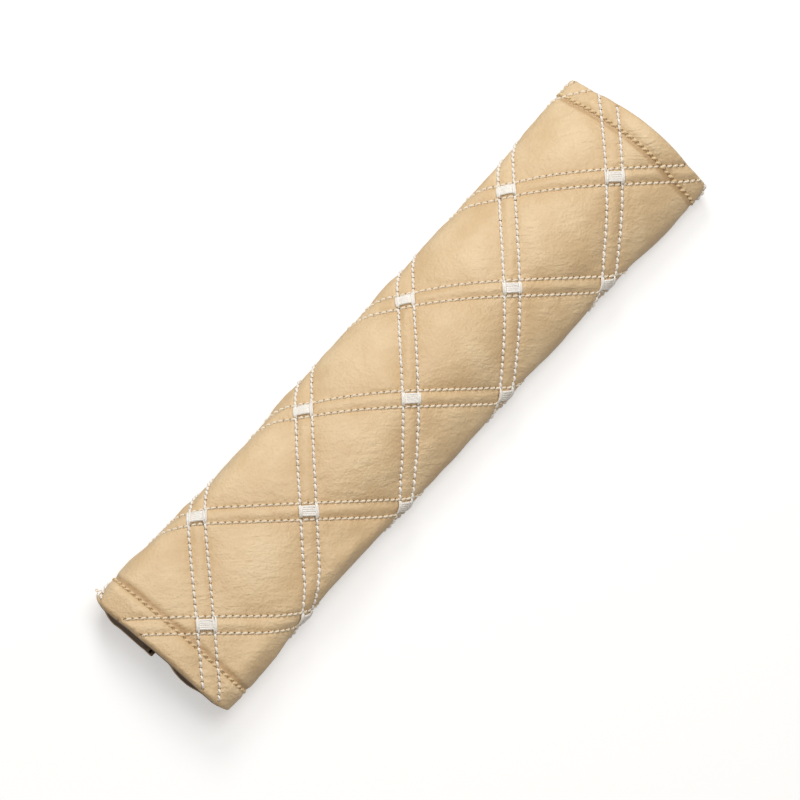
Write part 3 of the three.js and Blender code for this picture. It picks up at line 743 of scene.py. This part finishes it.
# %% Leather
def beige_leather():
    light_patch, dark_patch = srgb(233, 207, 166), srgb(221, 191, 147)
    # Painted shade: a darker colour for the pillows' hollows, one for the seam lines and one for the needle
    # holes
    painted_hollow_shade, painted_seam_shade, painted_hole_shade = srgb(198, 163, 116), srgb(190, 152, 106), srgb(138, 100, 60)
    # Painted shade: a darker colour for the groove inside the hem seam and a dark brown for the turned-in
    # leather seen in the open ends
    painted_groove_shade, painted_opening_shade = srgb(170, 130, 84), srgb(84, 64, 48)
    material, tree, shader = new_material("beige_leather")

    def product(a, b):
        return calc(tree, "MULTIPLY", a, b)

    def largest(a, b):
        return calc(tree, "MAXIMUM", a, b)

    uv = tree.nodes.new("ShaderNodeUVMap")
    uv.uv_map = "panel"
    along, across, _ = add_node(tree, "ShaderNodeSeparateXYZ", Vector=uv.outputs[0]).outputs
    a = calc(tree, "SUBTRACT", along, SHIFT_ALONG * MM)
    b = calc(tree, "SUBTRACT", across, SHIFT_ACROSS * MM)
    plain = product(calc(tree, "ADD", a, b), math.sqrt(0.5))
    knotted = product(calc(tree, "SUBTRACT", a, b), math.sqrt(0.5))
    from_middle = calc(tree, "ABSOLUTE", calc(tree, "SUBTRACT", along, HEM_MIDDLE * MM))
    from_hem = calc(tree, "SUBTRACT", from_middle, HEM_HALF * MM)
    level = use_group(tree, holes_group, Row=plain, Run=knotted)
    upright = use_group(tree, holes_group, Row=knotted, Run=plain)
    hem = use_group(tree, holes_group, Row=from_hem, Run=across, Half_pair=0.0, Repeat=1.0)
    quilted = smooth_range(tree, across, (QUILT_EDGE - 1) * MM, (QUILT_EDGE + 1) * MM)
    # holes: the needle holes of the quilting and of the hem seam, used for painted shade and for a dent in
    # the bump
    holes = largest(product(largest(level[0], upright[0]), quilted), hem[0])
    # seams: where painted shade runs along every quilting row and along the hem seam
    seams = largest(largest(level[1], upright[1]), hem[1])
    grain, mottle = use_group(tree, grain_group, Vector=object_coordinates(tree), Pebble_size=0.0009)
    # beside_hem: distance from the line of painted shade just inside the hem seam
    beside_hem = calc(tree, "ABSOLUTE", calc(tree, "ADD", from_hem, HEM_PAINTED_SHADE_PLACE * MM))
    round_way = calc(tree, "ABSOLUTE", across)
    # on_top and back mark the turned-in leather inside the open ends, painted dark brown as the shade there;
    # on the pad's top the dark begins sooner, under the rim
    on_top = smooth_range(tree, round_way, (FOLD_SIDE - 3) * MM, (FOLD_SIDE + 3) * MM, 0.22, 0.0)
    back = smooth_range(tree, calc(tree, "ADD", attribute_value(tree, "turned"), on_top), 0.56, 0.68)
    colour = blend_colour(tree, smooth_range(tree, mottle, 0.3, 0.7), dark_patch, light_patch)
    for share_, shade in (
        # painted shade in the pillows' hollows, darker the deeper the skin lies
        (product(smooth_range(tree, attribute_value(tree, "hollow"), 0.35, 1.0), 0.25), painted_hollow_shade),
        # painted shade along the seam lines
        (product(seams, 0.12), painted_seam_shade),
        # painted shade in every needle hole
        (product(holes, 0.42), painted_hole_shade),
        # painted shade in the groove just inside the hem seam
        (smooth_range(tree, beside_hem, 0.0004, 0.0018, 0.5, 0.0), painted_groove_shade),
        # painted shade on the turned-in leather inside the open ends
        (product(back, 0.92), painted_opening_shade),
    ):
        colour = blend_colour(tree, share_, colour, shade)
    wrinkles = noise(tree, vector(tree, plain, product(knotted, 0.3)), 520, 3, 0.6)
    patchy = smooth_range(tree, mottle, 0.35, 0.65, 0.4, 2.2)
    height = calc(tree, "ADD", grain, product(wrinkles, patchy))
    height = calc(tree, "SUBTRACT", height, product(holes, 2.0))
    roughness = calc(tree, "MULTIPLY_ADD", mottle, 0.12, 0.44)
    set_finish(tree, shader, colour, roughness, 0.08, height, 0.00032)
    return material


# %% Threads, lining, tapes and foam
def thread_finish(name, bright, dull):
    material, tree, shader = new_material(name)
    height, shade = use_group(tree, fuzz_group, Vector=object_coordinates(tree), Fibre_size=0.0003)
    set_finish(tree, shader, blend_colour(tree, shade, dull, bright), 0.55, 0.2, height, 0.00015)
    return material


def woven_finish(name, bright, dull, wale):
    """Knitted or woven cloth with ribs; `wale` is a rib's width in metres."""
    material, tree, shader = new_material(name)
    coordinates = object_coordinates(tree)
    height, shade = use_group(tree, fuzz_group, Vector=coordinates, Fibre_size=0.0005)
    ribs = add_node(tree, "ShaderNodeTexWave", Vector=coordinates, Scale=1 / wale / 20, Distortion=1.5)
    ribs.bands_direction = "X"
    colour = blend_colour(tree, calc(tree, "MULTIPLY", ribs.outputs["Fac"], shade), dull, bright)
    set_finish(tree, shader, colour, 0.9, 0.15, calc(tree, "ADD", ribs.outputs["Fac"], height), 0.0002)
    return material


leather_skin.data.materials.append(beige_leather())
white_thread = thread_finish("white_thread", srgb(255, 254, 252), srgb(243, 236, 224))
cream_thread = thread_finish("cream_thread", srgb(250, 241, 224), srgb(234, 217, 188))
hem_thread = thread_finish("hem_thread", srgb(235, 211, 168), srgb(222, 194, 148))
lining_knit = woven_finish("lining_knit", srgb(104, 84, 66), srgb(58, 44, 33), 0.0011)
hook_nylon = woven_finish("hook_nylon", srgb(214, 207, 199), srgb(176, 168, 160), 0.0009)
loop_pile = woven_finish("loop_pile", srgb(222, 214, 204), srgb(182, 172, 162), 0.0014)
foam_wadding = woven_finish("foam_wadding", srgb(240, 232, 208), srgb(222, 210, 182), 0.002)
print("materials:", len(bpy.data.materials))

# %% [markdown]
# ## Sewing the rows
# Level rows are the plain family, upright rows carry the knots. In the photograph the upright thread is the
# whiter of the two and lies higher, so it is a little thicker here and lifted a little more.

# %% Marks for every row of a family
ROW_LEFT = LEFT_REACH - 6.0
ROW_RIGHT = QUILT_EDGE + 2.5
OVER_FLOOR = 1.0  # thread underneath keeps its centre line this far above the floor
RIM_CLEAR, KNOT_CLEAR = 1.2, 2.4
AHEAD = 0.4 * PITCH
PAIRS = range(-4, 5)


def marks_at(along, across, ahead_along, ahead_across, lift):
    centre = skin_point(along, across, lift)
    centre[:, 2] = np.maximum(centre[:, 2], OVER_FLOOR)
    ahead = skin_point(ahead_along, ahead_across, lift)
    behind = skin_point(2 * along - ahead_along, 2 * across - ahead_across, lift)
    _, normals = panel_place(along, across)
    return centre, ahead - behind, normals


def family_marks(spot_of, lift, clear):
    """Marks on every row of a family, at least `clear` from the middle of each crossing."""
    found = []
    runs = np.arange(-60, 60) * PITCH + PITCH / 2
    off_crossing = np.abs(wrapped(runs)) > clear
    for pair in PAIRS:
        for row in (pair * DIAMOND - HALF_ROW, pair * DIAMOND + HALF_ROW):
            along, across = spot_of(row, runs)
            on_panel = (np.abs(along) < PANEL_END - RIM_CLEAR) & (across > ROW_RIGHT) & (across < ROW_LEFT)
            ahead = spot_of(row, runs + AHEAD)
            found.append(np.stack([along, across, *ahead])[:, on_panel & off_crossing])
    return marks_at(*np.concatenate(found, axis=1), lift)


plain_stitches = sew(
    "plain_stitches", family_marks(panel_spot, 0.12, 0), cream_thread,
    length=1.6, thickness=0.85, arch=0.36, unevenness=0.08, slant=0.2, seed=3,
)
knotted_stitches = sew(
    "knotted_stitches", family_marks(lambda row, run: panel_spot(run, row), 0.22, KNOT_CLEAR), white_thread,
    length=1.75, thickness=0.92, arch=0.4, unevenness=0.1, slant=0.16, seed=5,
)

# %% Hem seams round both ends
across = np.arange(QUILT_EDGE - 2, LEFT_REACH - 1.5, PITCH)
across = np.round(across / PITCH) * PITCH + PITCH / 2
across = across[across < LEFT_REACH - 2]
along = np.repeat([HEM_MIDDLE - HEM_HALF, HEM_MIDDLE + HEM_HALF], len(across))
across = np.concatenate([across, across])
hem_stitches = sew(
    "hem_stitches", marks_at(along, across, along, across + AHEAD, 0.0), hem_thread,
    length=1.7, thickness=1.0, arch=0.4, unevenness=0.12, slant=0.6, seed=7,
)

# %% [markdown]
# ## Knots
# Where an upright pair crosses a level pair, the machine ties the two upright rows together: two thick bars
# over the rows and a satin block of strands side by side between them. Each strand is a short tube laid over
# the leather, fat enough to touch its neighbours.


# %% Tubes along a path
def tube_parts(path, radius, up, sides=6):
    """Vertices and faces of a closed tube; radius is one number for each point of the path."""
    run = np.gradient(path, axis=0)
    run /= np.linalg.norm(run, axis=1)[:, None]
    side = np.cross(run, up)
    side /= np.linalg.norm(side, axis=1)[:, None]
    lift = np.cross(side, run)
    turn = np.arange(sides) / sides * 2 * math.pi
    ring = np.cos(turn)[None, :, None] * side[:, None, :] + np.sin(turn)[None, :, None] * lift[:, None, :]
    points = (path[:, None, :] + ring * np.asarray(radius)[:, None, None]).reshape(-1, 3)
    faces = []
    for i in range(len(path) - 1):
        for j in range(sides):
            k = (j + 1) % sides
            faces.append((i * sides + j, (i + 1) * sides + j, (i + 1) * sides + k, i * sides + k))
    last = (len(path) - 1) * sides
    faces += [tuple(range(sides)), tuple(range(last + sides - 1, last - 1, -1))]
    return points, faces


def tubes_object(name, tubes, material):
    points, faces, count = [], [], 0
    for part_points, part_faces in tubes:
        points.append(part_points)
        faces += [tuple(count + i for i in face) for face in part_faces]
        count += len(part_points)
    mesh = new_mesh(name, np.concatenate(points), faces)
    mesh.shade_smooth()
    mesh.materials.append(material)
    return add_object(name, mesh)


# %% The knots themselves
KNOT_WIDE, KNOT_TALL = 3.3, 2.0
STRANDS, STRAND_RADIUS, STRAND_HEIGHT = 5, 0.56, 0.45
BAR_RADIUS, BAR_HEIGHT, BAR_SHIFTS = 0.5, 0.75, (-0.28, 0.34)
LEVELLED = 0.6  # how far a strand is pulled straight across the dips under it
uneven = np.random.default_rng(21)


def knot_strand(plain, knotted, start, end, radius, height):
    """One strand from start to end, both measured from the middle of the crossing."""
    t = np.linspace(0, 1, 9)
    along, across = panel_spot(plain + mix(start[0], end[0], t), knotted + mix(start[1], end[1], t))
    _, up = panel_place(along, across)
    base = skin_point(along, across)
    middle = skin_point(*panel_spot(plain, knotted))
    flat = base - (base - middle) @ up[4][:, None] * up[4] * LEVELLED
    path = flat + up * (0.1 + height * np.sin(t * math.pi) ** 0.6)[:, None]
    path[:, 2] = np.maximum(path[:, 2], OVER_FLOOR)
    return tube_parts(path, radius * (0.6 + 0.4 * np.sin(t * math.pi) ** 0.5), up)


def knot_parts(plain, knotted):
    parts = []
    for place in np.linspace(-KNOT_TALL + 0.5, KNOT_TALL - 0.5, STRANDS):
        ends = (place, -KNOT_WIDE), (place + uneven.uniform(-0.2, 0.2), KNOT_WIDE)
        parts.append(knot_strand(plain, knotted, *ends, STRAND_RADIUS, STRAND_HEIGHT))
    for side in (-1, 1):
        for shift in BAR_SHIFTS:
            wide, reach = side * (HALF_ROW + shift), KNOT_TALL + uneven.uniform(0.2, 1.3)
            ends = (-reach, wide), (reach, wide + uneven.uniform(-0.25, 0.25))
            parts.append(knot_strand(plain, knotted, *ends, BAR_RADIUS, BAR_HEIGHT))
    return parts


knot_tubes = []
for plain in np.array(PAIRS) * DIAMOND:
    for knotted in np.array(PAIRS) * DIAMOND:
        along, across = panel_spot(plain, knotted)
        if abs(along) < PANEL_END - 4 and ROW_RIGHT + 4 < across < ROW_LEFT - 4:
            knot_tubes += knot_parts(plain, knotted)
satin_knots = tubes_object("satin_knots", knot_tubes, white_thread)
knot_count = len(knot_tubes) // (STRANDS + 2 * len(BAR_SHIFTS))
print("knots:", knot_count, "with", len(satin_knots.data.polygons), "faces")

# %% [markdown]
# ## Inside the pad
# Through the open ends a dark knitted lining shows: a cloth surface on the same panel, a wall's thickness
# under the skin, with small folds where the quilting pulls it. The foam is sealed between the two. It is the
# CAD solid in a wadding finish, drawn in at the lower corners as the leather is there.

# %% Lining
CLOTH, CLOTH_LIFT, CLOTH_FOLDS, CLOTH_MARGIN = 0.25, 0.14, 0.12, LAYER_GAP + 0.6
lining_along = between(-HEM_LINE, HEM_LINE, 2.6)
lining_across = between(-RIGHT_REACH + CLOTH_MARGIN, LEFT_REACH - CLOTH_MARGIN, 2.2)
LA, LB = np.meshgrid(lining_along, lining_across, indexing="ij")
_points, _normals = panel_place(LA, LB)
_folds = CLOTH_FOLDS * soft_noise(31, LA / 6, LB / 6) * ease(RIGHT_REACH + LB, 4, 12)
lining_points = _points + _normals * (-wall_at(LB) + CLOTH_LIFT + _folds)[..., None]
lining_cloth = add_object("lining_cloth", grid_mesh("lining_cloth", lining_points, np.stack([LA, LB], -1)))
doubled = lining_cloth.modifiers.new("cloth thickness", "SOLIDIFY")
doubled.thickness, doubled.offset = CLOTH * MM, -1
lining_cloth.data.materials.append(lining_knit)
print("lining:", len(lining_cloth.data.polygons), "faces")

# %% Foam, drawn in with the leather's lower corners
FOAM_EXTRA = 0.4
foam_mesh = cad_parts["foam_padding"].data.copy()
foam_mesh.name = "foam_layer"
foam_points = points_of(foam_mesh)
guide_across = np.linspace(-RIGHT_REACH, LEFT_REACH, 700)
guide, guide_normals = panel_place(np.full(700, -HEM_LINE), guide_across)
guide -= guide_normals * wall_at(guide_across)[:, None] / 2
apart = np.linalg.norm(foam_points[:, None, 1:] - guide[None, :, 1:], axis=-1)
round_way = guide_across[np.argmin(apart, axis=1)]
towards_end = np.clip(-foam_points[:, 0] / PANEL_END, 0, 1) ** 3
foam_points[:, 0] += (CORNER_TUCK + FOAM_EXTRA) * corner_share(round_way) * towards_end
foam_mesh.vertices.foreach_set("co", (foam_points * MM).ravel())
foam_mesh.update()
foam_mesh.materials.clear()
foam_mesh.materials.append(foam_wadding)
foam_layer = add_object("foam_layer", foam_mesh)
print("foam:", len(foam_mesh.polygons), "faces")

# %% The tapes keep their CAD solids
for node_name, finish in (("hook_tape", hook_nylon), ("loop_tape", loop_pile)):
    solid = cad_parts[node_name]
    solid.data.materials.clear()
    solid.data.materials.append(finish)
print("tapes: hook_tape and loop_tape painted")

# %% [markdown]
# ## A loose thread
# At the lower left corner the photograph shows a small loop of thread that the sewer didn't trim.

# %% The loose loop
LOOP_RADIUS, LOOP_OUT, LOOP_RUN, LOOP_SWAY, LOOP_SUNK = 0.2, 1.9, 3.6, 1.2, 0.4
loop_t = np.linspace(0, 1, 24)
corner, corner_up = panel_place(3.0 - PANEL_END, FOLD_START + 6.0)
outward, inward = np.array([0.0, 1.0, 0.15]), np.array([1.0, 0.0, 0.0])
sway = LOOP_RUN * (loop_t - 0.5) + LOOP_SWAY * np.sin(loop_t * 2 * math.pi)
loop_path = corner - corner_up * LOOP_SUNK + outward * (LOOP_OUT * np.sin(loop_t * math.pi))[:, None]
loop_path = loop_path + inward * sway[:, None]
loop_tube = tube_parts(loop_path, np.full(24, LOOP_RADIUS), np.array([[0.0, 0.2, 1.0]]))
loose_loop = tubes_object("loose_loop", [loop_tube], cream_thread)
print("loose loop:", len(loose_loop.data.polygons), "faces")

# %% [markdown]
# ## Hand every piece to the frame
# Each piece is hung on the frame's root and hides the CAD nodes it stands for; its row in the table also
# lists the finish of the record it belongs to. The quilting rows and knots are one sewn thing in the frame,
# so the stitches and the knots share those nodes.

# %% Pieces and the nodes they replace
nodes = sorted(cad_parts)
plain_nodes = [n for n in nodes if n.startswith("plain_row")]
knot_nodes = [n for n in nodes if n.startswith(("knotted_rows", "corner_row"))]
for piece, slot_name, stands_for in (
    (leather_skin, "leather", ["leather_cover"]),
    (plain_stitches, "thread", plain_nodes),
    (knotted_stitches, "thread", knot_nodes),
    (satin_knots, "thread", [n for n in knot_nodes if n.startswith("knotted")]),
    (hem_stitches, "hem_thread", ["upper_hem_seam", "lower_hem_seam"]),
    (loose_loop, "hem_thread", []),
    (lining_cloth, "lining", ["lining"]),
    (foam_layer, "foam", ["foam_padding"]),
):
    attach(piece, "root")
    if stands_for:
        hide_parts(*stands_for)
print("handed over:", len(plain_nodes), "plain and", len(knot_nodes), "knotted nodes replaced")

# %% [markdown]
# ## Floor, light and camera
# A white floor and a white surround stand in for the plain background and keep the soft shadow under the
# pad. The floor glows for the camera alone, so it lights nothing. A broad lamp hangs overhead, a smaller one
# stands at the upper left of the picture, and a weak, warm surround fills in the rest. The camera is a long
# lens nearly straight above, a little towards the lower end and the right side.

# %% Floor
FLOOR_REACH, FLOOR_DROP, FLOOR_GREY, FLOOR_GLOW = 3000, 0.1, 0.62, 0.5
floor_corners = np.array([(-1, -1, 0), (1, -1, 0), (1, 1, 0), (-1, 1, 0)]) * FLOOR_REACH
floor_mesh = new_mesh("floor", floor_corners, [(0, 1, 2, 3)])
floor = add_object("floor", floor_mesh)
floor.location.z = -FLOOR_DROP * MM
floor_material, tree, shader = new_material("white_floor")
seen = tree.nodes.new("ShaderNodeLightPath").outputs["Is Camera Ray"]
glow = calc(tree, "MULTIPLY", seen, FLOOR_GLOW)
set_inputs(tree, shader, Base_Color=(FLOOR_GREY, FLOOR_GREY, FLOOR_GREY, 1), Roughness=0.9)
set_inputs(tree, shader, Specular_IOR_Level=0.1, Emission_Color=(1, 1, 1, 1), Emission_Strength=glow)
floor_mesh.materials.append(floor_material)
print("floor:", 2 * FLOOR_REACH, "mm square")

# %% Light
FILL, FILL_COLOUR, WHITE = 0.17, (1, 0.84, 0.66, 1), (1, 1, 1, 1)
world = bpy.data.worlds.new("studio")
scene.world = world
world.use_nodes = True
tree = world.node_tree
surround = tree.nodes["Background"]
rays = tree.nodes.new("ShaderNodeLightPath").outputs
straight = calc(tree, "MAXIMUM", rays["Is Camera Ray"], rays["Is Glossy Ray"])
straight = calc(tree, "MAXIMUM", straight, rays["Is Transmission Ray"])
feed(tree, surround.inputs["Color"], blend_colour(tree, straight, FILL_COLOUR, WHITE))
feed(tree, surround.inputs["Strength"], calc(tree, "MULTIPLY_ADD", straight, 1 - FILL, FILL))


def area_lamp(name, place, size, power):
    data = bpy.data.lights.new(name, "AREA")
    data.shape, data.size, data.energy = "SQUARE", size, power
    lamp = add_object(name, data)
    lamp.location = place
    lamp.rotation_euler = (-Vector(place)).to_track_quat("-Z", "Y").to_euler()
    print(f"lamp {name}: {size} m square, {power} W")


area_lamp("window", (0.45, 0.7, 0.8), 0.45, 5.2)
area_lamp("overhead", (0.1, 0.13, 1.2), 0.85, 8.1)

# %% Camera
VIEW_WIDTH, LENS, SENSOR = 0.2878, 1000, 36
AIM_HEIGHT, AIM_RIGHT, AIM_UP = 0.013, -0.0004, -0.0027
elevation, side_tilt, roll = np.radians((72.4, -2.5, 47.5))
level_share = math.cos(side_tilt)
toward = Vector((-math.cos(elevation) * level_share, math.sin(side_tilt), math.sin(elevation) * level_share))
pad_way = (Vector((1, 0, 0)) - toward * toward.x).normalized()
over_way = toward.cross(pad_way)
right = pad_way * math.cos(roll) - over_way * math.sin(roll)
up = pad_way * math.sin(roll) + over_way * math.cos(roll)
distance = VIEW_WIDTH * LENS / SENSOR
place = Vector((0, 0, AIM_HEIGHT)) + right * AIM_RIGHT + up * AIM_UP + toward * distance
camera_data = bpy.data.cameras.new("camera")
camera_data.lens, camera_data.sensor_width = LENS, SENSOR
camera = add_object("camera", camera_data)
camera.matrix_world = Matrix([(right[i], up[i], toward[i], place[i]) for i in range(3)] + [(0, 0, 0, 1)])
scene.camera = camera
scene.view_settings.view_transform = "Standard"
print(f"camera: {LENS} mm lens from {distance:.1f} m, view {VIEW_WIDTH} m wide")
